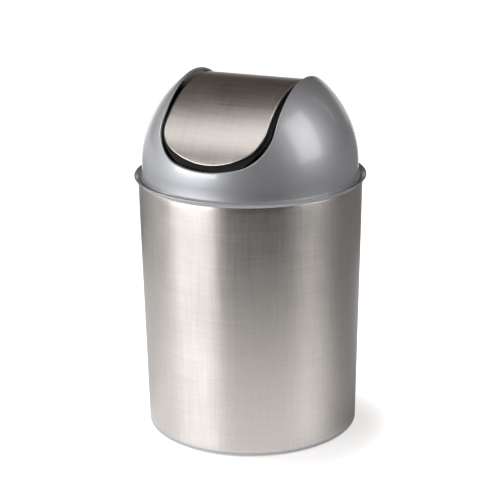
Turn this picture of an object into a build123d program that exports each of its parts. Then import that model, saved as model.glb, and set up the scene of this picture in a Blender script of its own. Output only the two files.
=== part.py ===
from build123d import *
import os
from math import asin, cos, degrees, radians, sin, sqrt

os.makedirs("parts", exist_ok=True)

# Countertop bin with a domed lid and a flap that swings both ways.
# Millimetres. Z = 0 is the worktop, the bin's axis is Z, and the flap's front faces -Y.

# Outer sleeve: one rolled sheet, slightly wider at the top, with a lap seam at the back
sleeve_top_r = 67.75
sleeve_bottom_r = 64.9
sleeve_height = 153.1
sheet = 0.5
hem_height = 4.0
hem_round = 0.2
seam_width = 6.0
seam_rise = 0.4

# Base tray: closes the sleeve, its lip shows under the sleeve's lower edge
pad_stand = 0.4
lip_height = 1.8
lip_round = 0.5
tray_wall = 1.6
tray_fit = 0.1
upstand_rise = 1.6
deck_lift = 4.0
rib_thickness = 1.2
rib_lift = 0.5
tray_rib_count = 8
hub_r = 10.0

# Non-slip pads under the tray
pad_r = 6.0
pad_thickness = 1.6
pad_count = 4
pad_circle_r = 50.0
pad_fit = 0.15
pad_collar = 1.5
pad_edge = 0.3

# Inner bucket: hangs in the sleeve by its flared rim, and lifts out
bucket_wall = 1.5
bucket_side_gap = 2.2
bucket_floor_gap = 0.6
bucket_corner_r = 6.0
push_up = 2.0
push_up_margin = 10.0
mouth_margin = 4.0
rim_flare = 2.25
rim_rise = 3.0
rim_edge = 0.7
rim_round_share = 0.4
rim_fit = 0.35
rim_web = 1.9
seat_drop = 2.2
spacer_count = 8
spacer_thickness = 1.2
spacer_height = 12.0

# Lid dome: a sphere over a short straight wall, whose foot sits on the ledge in the bucket's mouth
dome_inset = 2.45
dome_wall = 1.8
dome_lift = 6.3
foot_stand = 0.9
foot_height = 1.8
foot_round_share = 0.4
foot_fit = 0.3
seat_width = 1.6
skirt_depth = 10.0
skirt_wall = 1.6
skirt_fit = 0.3
skirt_collar = 2.4
opening_half_width = 35.2
opening_bottom = 9.3
opening_bottom_r = 82.0
opening_corner_r = 20.5
opening_round = 0.6

# Pivots: a web, a bearing boss and two stop pegs moulded inside each horn of the dome
head_room = 0.35
pin_r = 2.0
pin_fit = 0.05
pin_head_r = 3.4
pin_head_thickness = 1.4
pin_reach = 1.0
pin_chamfer = 0.5
web_inset = 1.0
web_thickness = 2.0
web_half_width = 14.0
web_margin = 1.5
boss_r = 4.5
boss_length = 5.0
side_play = 0.3
swing = 60.0
peg_r = 1.5
peg_distance = 12.0
peg_reach = 1.3
stop_gap = 0.3

# Flap: a brushed face plate on a black moulded frame
face_drop = 3.05
face_inset = 3.6
face_side_gap = 2.9
face_bottom_gap = 3.0
face_bottom_r = 46.0
face_corner_r = 15.0
face_sheet = 0.6
lip_gap = 0.3
face_round = 0.25
bond = 0.1
frame_shell = 1.8
frame_wall = 1.5
flange_side_gap = 1.0
flange_recess = 2.7
flange_thickness = 1.5
flange_clearance = 0.8
ear_half_width = 6.5
ear_thickness = 4.0
cross_rib_depth = 4.0
cross_rib_thickness = 1.4

# Two points or radii closer than this are the same place
same_place = 0.01

# Heights
sleeve_base_z = pad_stand + lip_height
sleeve_top_z = sleeve_base_z + sleeve_height
rim_top_z = sleeve_top_z + rim_rise
seat_z = rim_top_z - seat_drop
foot_top_z = seat_z + foot_height
dome_z = rim_top_z + dome_lift
deck_z = pad_stand + deck_lift
deck_top_z = deck_z + tray_wall
upstand_top_z = deck_top_z + upstand_rise
bucket_base_z = upstand_top_z + bucket_floor_gap

# Radii
dome_r = sleeve_top_r - dome_inset
dome_inner_r = dome_r - dome_wall
foot_r = dome_r + foot_stand
mouth_r = dome_r - seat_width
rim_r = sleeve_top_r + rim_flare
hem_top_r = sleeve_top_r - 2 * sheet
hem_bottom_r = sleeve_bottom_r - 2 * sheet
upstand_r = hem_bottom_r - tray_fit
upstand_inner_r = upstand_r - tray_wall
bucket_bottom_r = hem_bottom_r - bucket_side_gap

# Pivot axis, and the circle about which the flap's arch is bent
horn_height = sqrt(dome_r**2 - opening_half_width**2)
face_bottom = opening_bottom + face_bottom_gap
face_top = horn_height - face_drop
pivot_height = face_top - flange_recess - flange_thickness - pin_head_r - head_room
pivot_z = dome_z + pivot_height
face_reach = sqrt(dome_r**2 - face_bottom**2) - face_inset
face_span = face_top - face_bottom
face_r = (face_reach**2 + face_span**2) / (2 * face_span)
arch_height = face_top - face_r
arch_z = dome_z + arch_height
shell_r = face_r - face_sheet - bond
flange_r = face_r - flange_recess
flange_inner_r = flange_r - flange_thickness
face_lip = flange_recess - face_sheet - lip_gap
face_half_width = opening_half_width - face_side_gap
flange_half_width = opening_half_width - flange_side_gap

# Cuts and trims reach this far, past everything
beyond = 2 * dome_r
beyond_z = dome_z + beyond


def sleeve_r(z):
    """Outer radius of the tapered sleeve at a height."""
    share = (z - sleeve_base_z) / sleeve_height
    return sleeve_bottom_r + (sleeve_top_r - sleeve_bottom_r) * share


def corner_height(half_width, bottom, bottom_r, corner_r):
    """Height of a saddle outline's corner centres above the dome's centre."""
    return bottom + bottom_r - sqrt((bottom_r - corner_r) ** 2 - (half_width - corner_r) ** 2)


def opening_height(x):
    """Height of the opening's lower edge above the dome's centre, at a distance from the middle."""
    corner_x = opening_half_width - opening_corner_r
    corner_y = corner_height(opening_half_width, opening_bottom, opening_bottom_r, opening_corner_r)
    tangent_x = corner_x * opening_bottom_r / (opening_bottom_r - opening_corner_r)
    if x > tangent_x:
        return corner_y - sqrt(opening_corner_r**2 - (x - corner_x) ** 2)
    return opening_bottom + opening_bottom_r - sqrt(opening_bottom_r**2 - x**2)


def flange_height(x):
    """Lowest height at which the flange still swings past the opening's inner edge."""
    edge_reach_2 = dome_inner_r**2 - x**2 + pivot_height**2 - 2 * pivot_height * opening_height(x)
    reach = sqrt(edge_reach_2) - flange_clearance
    level = flange_r**2 - arch_height**2 + pivot_height**2 - reach**2
    return level / (2 * (pivot_height - arch_height))


def saddle_outline(half_width, bottom, bottom_r, corner_r):
    """Front view of the flap opening or the face: round bottom, round corners, straight sides."""
    corner_x = half_width - corner_r
    corner_z = dome_z + corner_height(half_width, bottom, bottom_r, corner_r)
    bottom_z = dome_z + bottom + bottom_r
    lean = degrees(asin(corner_x / (bottom_r - corner_r)))
    with BuildSketch(Plane.XZ) as outline:
        with BuildLine():
            CenterArc((0, bottom_z), bottom_r, -90 - lean, 2 * lean)
            CenterArc((corner_x, corner_z), corner_r, lean - 90, 90 - lean)
            CenterArc((-corner_x, corner_z), corner_r, 180, 90 - lean)
            Polyline(
                (half_width, corner_z),
                (half_width, beyond_z),
                (-half_width, beyond_z),
                (-half_width, corner_z),
            )
        make_face()
    return outline.sketch


def face_outline(inset):
    """Front view of the face plate, drawn in by an inset all round."""
    return saddle_outline(
        face_half_width - inset, face_bottom + inset, face_bottom_r - inset, face_corner_r - inset
    )


def flange_outline():
    """Front view of the flange: one arc that clears the opening's edge, and straight sides."""
    low = (0, dome_z + flange_height(0))
    side_z = dome_z + flange_height(flange_half_width)
    with BuildSketch(Plane.XZ) as outline:
        with BuildLine():
            ThreePointArc((-flange_half_width, side_z), low, (flange_half_width, side_z))
            Polyline(
                (flange_half_width, side_z),
                (flange_half_width, beyond_z),
                (-flange_half_width, beyond_z),
                (-flange_half_width, side_z),
            )
        make_face()
    return outline.sketch


def arch_layer(outer_r, inner_r, outline):
    """The flap's arch between two radii, trimmed to an outline seen from the front."""
    with BuildPart() as layer:
        with BuildSketch(Plane.YZ):
            with Locations((0, arch_z)):
                Circle(outer_r)
                Circle(inner_r, mode=Mode.SUBTRACT)
        extrude(amount=beyond, both=True)
        extrude(outline, amount=beyond, both=True, mode=Mode.INTERSECT)
    return layer.part


def dome_distance(point):
    """Distance of a point from the dome's centre."""
    return (point - Vector(0, 0, dome_z)).length


def arch_distance(point):
    """Distance of a point from the axis about which the flap's arch is bent."""
    return sqrt(point.Y**2 + (point.Z - arch_z) ** 2)


# ---- Outer sleeve ----

hem_low_z = sleeve_base_z + hem_height
hem_high_z = sleeve_top_z - hem_height

with BuildPart() as outer_sleeve:
    with BuildSketch(Plane.XZ):
        with BuildLine():
            Polyline(
                (sleeve_bottom_r, sleeve_base_z),
                (sleeve_top_r, sleeve_top_z),
                (hem_top_r, sleeve_top_z),
                (sleeve_r(hem_high_z) - 2 * sheet, hem_high_z),
                (sleeve_r(hem_high_z) - sheet, hem_high_z),
                (sleeve_r(hem_low_z) - sheet, hem_low_z),
                (sleeve_r(hem_low_z) - 2 * sheet, hem_low_z),
                (hem_bottom_r, sleeve_base_z),
                close=True,
            )
        make_face()
    revolve(axis=Axis.Z)
    fold_edges = outer_sleeve.edges().filter_by(GeomType.CIRCLE).group_by(Axis.Z)
    outer_folds = [fold.sort_by(SortBy.RADIUS)[-1] for fold in (fold_edges[0], fold_edges[-1])]
    fillet(outer_folds, hem_round)

    # Lap seam: the sheet's free edge lies over its other end, down the back
    seam_angle = degrees(seam_width / sleeve_top_r)
    seam_start = radians(90 - seam_angle / 2)
    outwards = (cos(seam_start), sin(seam_start), 0)
    sideways = (sin(seam_start), -cos(seam_start), 0)
    with BuildSketch(Plane((0, 0, 0), x_dir=outwards, z_dir=sideways)):
        with BuildLine():
            Polyline(
                (sleeve_r(hem_low_z) - sheet / 2, hem_low_z),
                (sleeve_r(hem_low_z) + seam_rise, hem_low_z),
                (sleeve_r(hem_high_z) + seam_rise, hem_high_z),
                (sleeve_r(hem_high_z) - sheet / 2, hem_high_z),
                close=True,
            )
        make_face()
    revolve(axis=Axis.Z, revolution_arc=seam_angle)

outer_sleeve.part.label = "outer_sleeve"
export_step(outer_sleeve.part, "parts/outer_sleeve.step")

# ---- Base tray ----

with BuildPart() as base_tray:
    with BuildSketch(Plane.XZ):
        with BuildLine():
            Polyline(
                (0, deck_z),
                (upstand_inner_r, deck_z),
                (upstand_inner_r, pad_stand),
                (sleeve_bottom_r, pad_stand),
                (sleeve_bottom_r, sleeve_base_z),
                (upstand_r, sleeve_base_z),
                (upstand_r, upstand_top_z),
                (upstand_inner_r, upstand_top_z),
                (upstand_inner_r, deck_top_z),
                (0, deck_top_z),
                close=True,
            )
        make_face()
    revolve(axis=Axis.Z)
    foot_edges = base_tray.edges().filter_by(GeomType.CIRCLE).group_by(Axis.Z)[0]
    fillet(foot_edges.sort_by(SortBy.RADIUS)[-1], lip_round)

    # Stiffening hub and spokes under the deck
    rib_foot_z = pad_stand + rib_lift
    rib_height = deck_z - rib_foot_z
    with BuildSketch(Plane.XY.offset(rib_foot_z)):
        Circle(hub_r)
        Circle(hub_r - rib_thickness, mode=Mode.SUBTRACT)
        spoke_length = upstand_inner_r - hub_r + rib_thickness
        with PolarLocations(hub_r - rib_thickness / 2, tray_rib_count, start_angle=180 / tray_rib_count):
            Rectangle(spoke_length, rib_thickness, align=(Align.MIN, Align.CENTER))
        with PolarLocations(pad_circle_r, pad_count, start_angle=180 / pad_count):
            Circle(pad_r + pad_collar)
    extrude(amount=rib_height)

    # Pockets that hold the pads
    with BuildSketch(Plane.XY.offset(pad_thickness)):
        with PolarLocations(pad_circle_r, pad_count, start_angle=180 / pad_count):
            Circle(pad_r + pad_fit)
    extrude(amount=-pad_thickness, mode=Mode.SUBTRACT)

base_tray.part.label = "base_tray"
export_step(base_tray.part, "parts/base_tray.step")

with BuildPart() as base_pads:
    with BuildSketch():
        with PolarLocations(pad_circle_r, pad_count, start_angle=180 / pad_count):
            Circle(pad_r)
    extrude(amount=pad_thickness)
    chamfer(base_pads.edges().group_by(Axis.Z)[0], pad_edge)

base_pads.part.label = "base_pads"
export_step(base_pads.part, "parts/base_pads.step")

# ---- Inner bucket ----

step_z = seat_z - rim_web
spacer_r = hem_top_r - rim_fit
mouth_z = seat_z - skirt_depth - mouth_margin
flare_foot_r = foot_r + foot_fit
push_up_r = bucket_bottom_r - push_up_margin
corner_r = bucket_bottom_r - bucket_corner_r
corner_z = bucket_base_z + bucket_corner_r

with BuildPart() as inner_bucket:
    with BuildSketch(Plane.XZ):
        with BuildLine():
            Polyline(
                (0, bucket_base_z + push_up),
                (push_up_r, bucket_base_z + push_up),
                (push_up_r + push_up, bucket_base_z),
                (corner_r, bucket_base_z),
            )
            CenterArc((corner_r, corner_z), bucket_corner_r, -90, 90)
            Polyline(
                (bucket_bottom_r, corner_z),
                (mouth_r + bucket_wall, mouth_z),
                (mouth_r + bucket_wall, step_z),
                (spacer_r, step_z),
                (spacer_r, sleeve_top_z),
                (sleeve_top_r, sleeve_top_z),
                (rim_r, rim_top_z - rim_edge / 2),
                (rim_r, rim_top_z),
                (rim_r - rim_edge, rim_top_z),
                (flare_foot_r, seat_z),
                (mouth_r, seat_z),
                (mouth_r, mouth_z),
                (bucket_bottom_r - bucket_wall, corner_z),
            )
            CenterArc((corner_r, corner_z), bucket_corner_r - bucket_wall, 0, -90)
            Polyline(
                (corner_r, bucket_base_z + bucket_wall),
                (push_up_r + push_up + bucket_wall / 2, bucket_base_z + bucket_wall),
                (push_up_r + bucket_wall / 2, bucket_base_z + push_up + bucket_wall),
                (0, bucket_base_z + push_up + bucket_wall),
                (0, bucket_base_z + push_up),
            )
        make_face()
    revolve(axis=Axis.Z)
    rim_edges = inner_bucket.edges().filter_by(GeomType.CIRCLE).group_by(Axis.Z)[-1]
    fillet(rim_edges, rim_edge * rim_round_share)

    # Spacer ribs under the rim keep the bucket central in the sleeve
    with Locations((0, 0, step_z)):
        with PolarLocations(mouth_r + bucket_wall / 2, spacer_count):
            Box(
                spacer_r - mouth_r - bucket_wall / 2,
                spacer_thickness,
                spacer_height,
                align=(Align.MIN, Align.CENTER, Align.MAX),
            )

inner_bucket.part.label = "inner_bucket"
export_step(inner_bucket.part, "parts/inner_bucket.step")

# ---- Pivot bracket inside one horn ----

web_x = opening_half_width + web_inset
boss_x = flange_half_width + side_play
arch_depth = pivot_height - arch_height
peg_orbit = flange_inner_r - peg_r - stop_gap
peg_lag = asin((peg_orbit**2 - arch_depth**2 - peg_distance**2) / (2 * arch_depth * peg_distance))
peg_angle = radians(swing) - peg_lag
peg_y = peg_distance * cos(peg_angle)
peg_z = pivot_z - peg_distance * sin(peg_angle)
web_below = peg_distance + peg_r + web_margin

with BuildPart() as bracket:
    with BuildSketch(Plane.YZ.offset(web_x)):
        with Locations((0, pivot_z - web_below)):
            Rectangle(2 * web_half_width, beyond, align=(Align.CENTER, Align.MIN))
    extrude(amount=web_thickness)
    with Locations((0, 0, dome_z)):
        Sphere(dome_r - dome_wall / 2, mode=Mode.INTERSECT)
    with BuildSketch(Plane.YZ.offset(boss_x)):
        with Locations((0, pivot_z)):
            Circle(boss_r)
    extrude(amount=boss_length)
    with BuildSketch(Plane.YZ.offset(web_x)):
        with Locations((-peg_y, peg_z), (peg_y, peg_z)):
            Circle(peg_r)
    extrude(amount=-(web_x - flange_half_width + peg_reach))
    with BuildSketch(Plane.YZ.offset(boss_x)):
        with Locations((0, pivot_z)):
            Circle(pin_r + pin_fit)
    extrude(amount=boss_length + web_thickness, mode=Mode.SUBTRACT)

# ---- Lid dome ----

collar_z = seat_z + skirt_collar
skirt_r = mouth_r - skirt_fit
opening = saddle_outline(opening_half_width, opening_bottom, opening_bottom_r, opening_corner_r)

with BuildPart() as lid_dome:
    with BuildSketch(Plane.XZ):
        with BuildLine():
            Polyline((0, dome_z + dome_inner_r), (0, dome_z + dome_r))
            CenterArc((0, dome_z), dome_r, 90, -90)
            Polyline(
                (dome_r, dome_z),
                (dome_r, foot_top_z),
                (foot_r, foot_top_z),
                (foot_r, seat_z),
                (skirt_r, seat_z),
                (skirt_r, seat_z - skirt_depth),
                (skirt_r - skirt_wall, seat_z - skirt_depth),
                (skirt_r - skirt_wall, collar_z),
                (dome_inner_r, collar_z),
                (dome_inner_r, dome_z),
            )
            CenterArc((0, dome_z), dome_inner_r, 0, 90)
        make_face()
    revolve(axis=Axis.Z)
    circles = lid_dome.edges().filter_by(GeomType.CIRCLE)
    foot_edges = circles.filter_by_position(Axis.Z, foot_top_z - same_place, foot_top_z + same_place)
    fillet(foot_edges, foot_stand * foot_round_share)
    extrude(opening, amount=beyond, both=True, mode=Mode.SUBTRACT)
    cut_edges = lid_dome.edges(Select.LAST)
    outer_edges = cut_edges.filter_by(lambda edge: abs(dome_distance(edge @ 0.5) - dome_r) < same_place)
    fillet(outer_edges, opening_round)
    add(bracket.part)
    add(bracket.part.mirror(Plane.YZ))

lid_dome.part.label = "lid_dome"
export_step(lid_dome.part, "parts/lid_dome.step")

# ---- Flap frame ----

bed_inset = face_sheet + bond
shell_under_r = shell_r - frame_shell
shell_under_z = arch_z + shell_under_r
clear_r = flange_inner_r - frame_wall

with BuildPart() as ear:
    with BuildSketch(Plane.YZ.offset(flange_half_width - ear_thickness)):
        with Locations((0, pivot_z)):
            Circle(ear_half_width)
            Rectangle(2 * ear_half_width, beyond, align=(Align.CENTER, Align.MIN))
    extrude(amount=ear_thickness)
    with BuildSketch(Plane.YZ):
        with Locations((0, arch_z)):
            Circle(flange_r - flange_thickness / 2)
    extrude(amount=beyond, mode=Mode.INTERSECT)

with BuildPart() as cross_ribs:
    with BuildSketch(Plane.YZ):
        rib_y = ear_half_width - cross_rib_thickness / 2
        rib_z = shell_under_z - cross_rib_depth
        with Locations((-rib_y, rib_z), (rib_y, rib_z)):
            Rectangle(cross_rib_thickness, beyond, align=(Align.CENTER, Align.MIN))
    extrude(amount=face_half_width - bed_inset - frame_wall / 2, both=True)
    with BuildSketch(Plane.YZ):
        with Locations((0, arch_z)):
            Circle(shell_r - frame_shell / 2)
    extrude(amount=beyond, both=True, mode=Mode.INTERSECT)

flange = flange_outline()
raised_bed = arch_layer(shell_r, flange_inner_r, face_outline(bed_inset))
underside = arch_layer(shell_under_r, clear_r, face_outline(bed_inset + frame_wall))

with BuildPart() as flap_frame:
    with BuildSketch(Plane.YZ):
        with Locations((0, arch_z)):
            Circle(flange_r)
            Circle(flange_inner_r, mode=Mode.SUBTRACT)
    extrude(amount=beyond, both=True)
    extrude(flange, amount=beyond, both=True, mode=Mode.INTERSECT)
    add(raised_bed)
    add(underside, mode=Mode.SUBTRACT)
    add(ear.part)
    add(ear.part.mirror(Plane.YZ))
    add(cross_ribs.part)
    with BuildSketch(Plane.YZ):
        with Locations((0, pivot_z)):
            Circle(pin_r)
    extrude(amount=beyond, both=True, mode=Mode.SUBTRACT)

flap_frame.part.label = "flap_frame"
export_step(flap_frame.part, "parts/flap_frame.step")

# ---- Flap face ----

blank = arch_layer(face_r, face_r - face_sheet - face_lip, face_outline(0))
inside_of_lip = arch_layer(face_r - face_sheet, flange_inner_r, face_outline(face_sheet))

with BuildPart() as flap_face:
    add(blank)
    add(inside_of_lip, mode=Mode.SUBTRACT)
    edges = flap_face.edges()
    outer_edges = edges.filter_by(lambda edge: abs(arch_distance(edge @ 0.5) - face_r) < same_place)
    fillet(outer_edges, face_round)

flap_face.part.label = "flap_face"
export_step(flap_face.part, "parts/flap_face.step")

# ---- Pivot pins: pushed outwards through the flap's ears into the bearing bosses ----

head_x = flange_half_width - ear_thickness - pin_head_thickness
pin_length = boss_x + boss_length + pin_reach - head_x

with BuildPart() as pivot_pin_right:
    with BuildSketch(Plane.YZ.offset(head_x)):
        with Locations((0, pivot_z)):
            Circle(pin_r)
    extrude(amount=pin_length)
    chamfer(pivot_pin_right.edges().group_by(Axis.X)[-1], pin_chamfer)
    with BuildSketch(Plane.YZ.offset(head_x)):
        with Locations((0, pivot_z)):
            Circle(pin_head_r)
    extrude(amount=pin_head_thickness)
    fillet(pivot_pin_right.edges().group_by(Axis.X)[0], pin_chamfer)

pivot_pin_right.part.label = "pivot_pin_right"
export_step(pivot_pin_right.part, "parts/pivot_pin_right.step")

with BuildPart() as pivot_pin_left:
    add(pivot_pin_right.part.mirror(Plane.YZ))

pivot_pin_left.part.label = "pivot_pin_left"
export_step(pivot_pin_left.part, "parts/pivot_pin_left.step")
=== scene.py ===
from math import acos, asin, atan2, cos, hypot, pi, radians, sin, sqrt, tan

import bpy
from bpy.props import FloatProperty, FloatVectorProperty, IntProperty, PointerProperty
from bpy.types import Operator, Panel, PropertyGroup
from mathutils import Matrix, Vector


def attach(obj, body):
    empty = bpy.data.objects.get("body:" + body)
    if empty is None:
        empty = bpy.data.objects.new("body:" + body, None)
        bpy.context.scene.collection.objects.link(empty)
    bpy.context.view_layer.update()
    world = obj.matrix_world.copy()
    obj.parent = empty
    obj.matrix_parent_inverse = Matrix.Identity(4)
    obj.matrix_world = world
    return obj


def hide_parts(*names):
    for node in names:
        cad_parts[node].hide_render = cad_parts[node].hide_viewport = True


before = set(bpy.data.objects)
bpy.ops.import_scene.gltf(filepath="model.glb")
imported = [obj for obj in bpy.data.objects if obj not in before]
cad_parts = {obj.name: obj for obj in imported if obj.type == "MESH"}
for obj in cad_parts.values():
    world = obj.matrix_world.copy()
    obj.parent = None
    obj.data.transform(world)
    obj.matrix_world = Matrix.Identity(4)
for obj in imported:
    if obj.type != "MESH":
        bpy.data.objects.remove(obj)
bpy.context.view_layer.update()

bl_info = {
    "name": "Swing-Lid Countertop Bin",
    "version": (1, 0, 0),
    "blender": (4, 5, 0),
    "location": "View3D > Sidebar > Swing Bin",
    "description": "Builds the outside of a countertop bin with a domed lid and a swinging flap",
    "category": "Add Mesh",
}

MM = 0.001

# Points that lie closer together than this become one
MERGE_DISTANCE = 0.002 * MM
# Steps round the sleeve and the bucket, and round and up the lid's dome
TURN_STEPS = 288
DOME_COLUMNS = 256
DOME_ROWS = 40
# Steps round the opening's outer and inner edge, and halvings that find its place
EDGE_STEPS = 8
INNER_EDGE_STEPS = 4
HALVINGS = 44
# Cells across and along the flap's plate, and steps round its fold
PLATE_COLUMNS = 64
PLATE_ROWS = 96
FOLD_STEPS = 6


def length(label, text, millimetres):
    """A length that a user may change, in metres, given here in millimetres."""
    metres = millimetres * MM
    kind = {"precision": 5, "unit": "LENGTH", "subtype": "DISTANCE"}
    return FloatProperty(name=label, description=text, default=metres, **kind)


def colour(label, text, red, green, blue):
    """A linear colour that a user may change."""
    kind = {"min": 0, "max": 1, "size": 3, "subtype": "COLOR"}
    return FloatVectorProperty(name=label, description=text, default=(red, green, blue), **kind)


def factor(label, text, value):
    """A share from nought to one that a user may change."""
    return FloatProperty(name=label, description=text, default=value, min=0, max=1, subtype="FACTOR")


def turning(label, text, degrees):
    """An angle that a user may change, given here in degrees."""
    return FloatProperty(name=label, description=text, default=radians(degrees), subtype="ANGLE")


# ---- Sizes and finishes ----


class SleeveSizes(PropertyGroup):
    """The rolled sheet round the bin."""

    top_radius: length("Top radius", "Outside of the sleeve at its upper edge", 67.75)
    bottom_radius: length("Bottom radius", "Outside of the sleeve at its lower edge", 64.9)
    foot: length("Foot", "Height of the sleeve's lower edge above the worktop", 2.2)
    top: length("Top", "Height of the sleeve's upper edge above the worktop", 155.3)
    sheet: length("Sheet", "Thickness of the sheet", 0.5)
    hem: length("Hem", "Height of the folded hems at both edges", 4.0)
    hem_round: length("Hem round", "Radius on the outside of each fold", 0.3)
    seam_width: length("Seam width", "Width of the lap seam at the back", 5.92)
    seam_rise: length("Seam rise", "How far the lap stands out", 0.4)
    seam_edge: length("Seam edge", "Rounding along the lap's edges", 0.15)


class BucketSizes(PropertyGroup):
    """The moulded bucket that hangs in the sleeve."""

    rim_radius: length("Rim radius", "Outside of the flared rim", 70.0)
    rim_top: length("Rim top", "Height of the rim above the worktop", 158.3)
    rim_edge: length("Rim edge", "Width of the rim's top edge", 0.7)
    lip: length("Lip", "Height of the thin lip round the rim", 0.5)
    lip_root: length("Lip root", "Height at which the lip's underside meets the flare", 156.6)
    lip_root_radius: length("Lip root radius", "Outside of the flare below the lip", 68.15)
    seat: length("Seat", "Height of the ledge that carries the lid", 156.1)
    seat_radius: length("Seat radius", "Where the ledge meets the flare", 66.5)
    mouth_radius: length("Mouth radius", "Inside of the mouth below the ledge", 63.7)
    mouth_foot: length("Mouth foot", "Height at which the mouth's straight wall ends", 142.1)
    web_foot: length("Web foot", "Underside of the web that joins rim and wall", 154.2)
    spigot_radius: length("Spigot radius", "Outside of the ring that centres the bucket", 66.4)
    wall: length("Wall", "Thickness of the wall and the floor", 1.5)
    bottom_radius: length("Bottom radius", "Outside of the wall at the floor", 61.7)
    base: length("Base", "Height of the floor's underside above the worktop", 8.2)
    corner: length("Corner", "Outer radius between wall and floor", 6.0)
    push_up: length("Push-up", "How far the floor's middle is raised", 2.0)
    push_up_margin: length("Push-up margin", "Width of the lower ring round the raised middle", 10.0)
    push_up_round: length("Push-up round", "Roundings round the raised middle", 1.0)
    mouth_round: length("Mouth round", "Radius where the straight wall ends", 4.0)
    seat_round: length("Seat round", "Roundings on both sides of the ledge", 0.5)
    lip_round: length("Lip round", "Rounding on the lip's outer edges", 0.2)
    rib_height: length("Rib height", "Height of the ribs below the web", 12.0)
    rib_width: length("Rib width", "Thickness of each rib", 1.2)
    rib_count: IntProperty(name="Rib count", description="Ribs round the bucket", default=8, min=3)


class LidSizes(PropertyGroup):
    """The domed lid with its saddle-shaped opening."""

    radius: length("Radius", "Outside of the dome", 65.3)
    wall: length("Wall", "Thickness of the dome", 1.8)
    centre: length("Centre", "Height of the dome's centre above the worktop", 164.6)
    seat: length("Seat", "Height of the foot's underside above the worktop", 156.13)
    foot_stand: length("Foot stand", "How far the foot stands out from the wall", 0.9)
    foot_height: length("Foot height", "Height of the foot", 1.8)
    foot_round: length("Foot round", "Rounding on and under the foot's top edge", 0.36)
    skirt_radius: length("Skirt radius", "Outside of the skirt in the bucket's mouth", 63.4)
    skirt_depth: length("Skirt depth", "How far the skirt reaches below the seat", 10.0)
    skirt_wall: length("Skirt wall", "Thickness of the skirt", 1.6)
    skirt_round: length("Skirt round", "Rounding under the skirt", 0.4)
    seat_round: length("Seat round", "Rounding on both sides of the seat", 0.2)
    collar: length("Collar", "How far the thick collar reaches above the seat", 2.4)
    collar_round: length("Collar round", "Rounding on both sides of the collar's top", 0.5)
    opening_half_width: length("Opening half width", "From the middle to a horn's cut face", 35.2)
    opening_bottom: length("Opening bottom", "Lowest point of the opening above the centre", 9.3)
    opening_bottom_radius: length("Opening bottom radius", "Curve of the opening's edge", 82.0)
    opening_corner_radius: length("Opening corner radius", "Curve of the opening's corners", 20.5)
    edge_round: length("Edge round", "Rounding on the opening's outer edge", 0.8)
    pivot: length("Pivot", "Height of the pivots above the worktop", 208.6)
    web_inset: length("Web inset", "Depth of each bracket behind a horn's cut face", 1.0)
    web: length("Web", "Thickness of each bracket", 2.0)
    web_half_width: length("Web half width", "Half the width of each bracket", 14.0)
    web_below: length("Web below", "How far each bracket reaches below the pivot", 15.0)
    boss_radius: length("Boss radius", "Outside of each bearing boss", 4.5)
    boss_length: length("Boss length", "Length of each bearing boss", 5.0)
    boss_start: length("Boss start", "Distance of each boss's inner face from the middle", 34.5)
    bore_radius: length("Bore radius", "Radius of each bearing", 2.05)
    peg_radius: length("Peg radius", "Radius of each stop peg", 1.5)
    peg_start: length("Peg start", "Distance of each peg's tip from the middle", 32.9)
    peg_distance: length("Peg distance", "Distance of each peg from the pivot", 12.0)
    peg_angle: turning("Peg angle", "Direction of each peg below the level of the pivot", 60)


class FlapSizes(PropertyGroup):
    """The arched plate on the swinging flap."""

    arch_radius: length("Arch radius", "Outside of the arch", 66.03)
    arch_height: length("Arch height", "Height of the arch's axis above the worktop", 150.52)
    sheet: length("Sheet", "Thickness of the plate", 0.6)
    lip: length("Lip", "Depth of the folded edge below the plate", 1.8)
    lip_blend: length("Lip blend", "Height over which the lip turns square to the arch", 12.0)
    fold: length("Fold", "Rounding along the folded edge", 0.65)
    half_width: length("Half width", "From the middle to the plate's straight edge", 31.7)
    bottom: length("Bottom", "Lowest point of the plate above the dome's centre", 12.3)
    bottom_radius: length("Bottom radius", "Curve of the plate's front edge", 46.0)
    corner_radius: length("Corner radius", "Curve of the plate's corners", 15.0)


class Finishes(PropertyGroup):
    """Colours and gloss of the bin's materials."""

    nickel: colour("Nickel", "Brushed metal of the sleeve and the flap's plate", 0.69, 0.65, 0.615)
    sleeve_blur: factor("Sleeve blur", "Blur of the reflections in the sleeve", 0.365)
    sleeve_stretch: factor("Sleeve stretch", "How much they are stretched up and down", 0.742)
    flap_blur: factor("Flap blur", "Blur of the reflections in the flap's plate", 0.345)
    silver: colour("Silver", "Metallic grey of the lid, the bucket and the tray", 0.478, 0.487, 0.516)
    silver_roughness: factor("Silver roughness", "Blur under the clear surface", 0.479)
    silver_metal: factor("Silver metal", "Share of metal in the silver plastic's fleck", 0.68)
    silver_coat: factor("Silver coat", "Strength of the clear surface", 0.8)
    silver_coat_blur: factor("Silver coat blur", "Blur of the clear surface", 0.12)
    black: colour("Black", "Matte black of the flap's frame", 0.013, 0.013, 0.014)
    rubber: colour("Rubber", "Soft pads under the tray", 0.10, 0.10, 0.10)
    pin: colour("Pin", "Pivot pins", 0.045, 0.045, 0.047)


class Studio(PropertyGroup):
    """Camera and surroundings."""

    lens: FloatProperty(name="Lens", description="Focal length in millimetres", default=108.8)
    distance: length("Distance", "From the camera to the point that it looks at", 928.3)
    azimuth: turning("Azimuth", "Camera's turn round the bin, from straight ahead of the flap", 24.5)
    elevation: turning("Elevation", "Camera's angle above the horizon", 18.11)
    roll: turning("Roll", "Camera's tilt about its own axis", -0.57)
    aim_height: length("Aim height", "Height of the point that the camera looks at", 108.63)
    aim_side: length("Aim side", "Sideways place of that point", -0.66)
    floor: colour("Floor", "Paint of the pale floor", 0.8, 0.8, 0.8)


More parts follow.
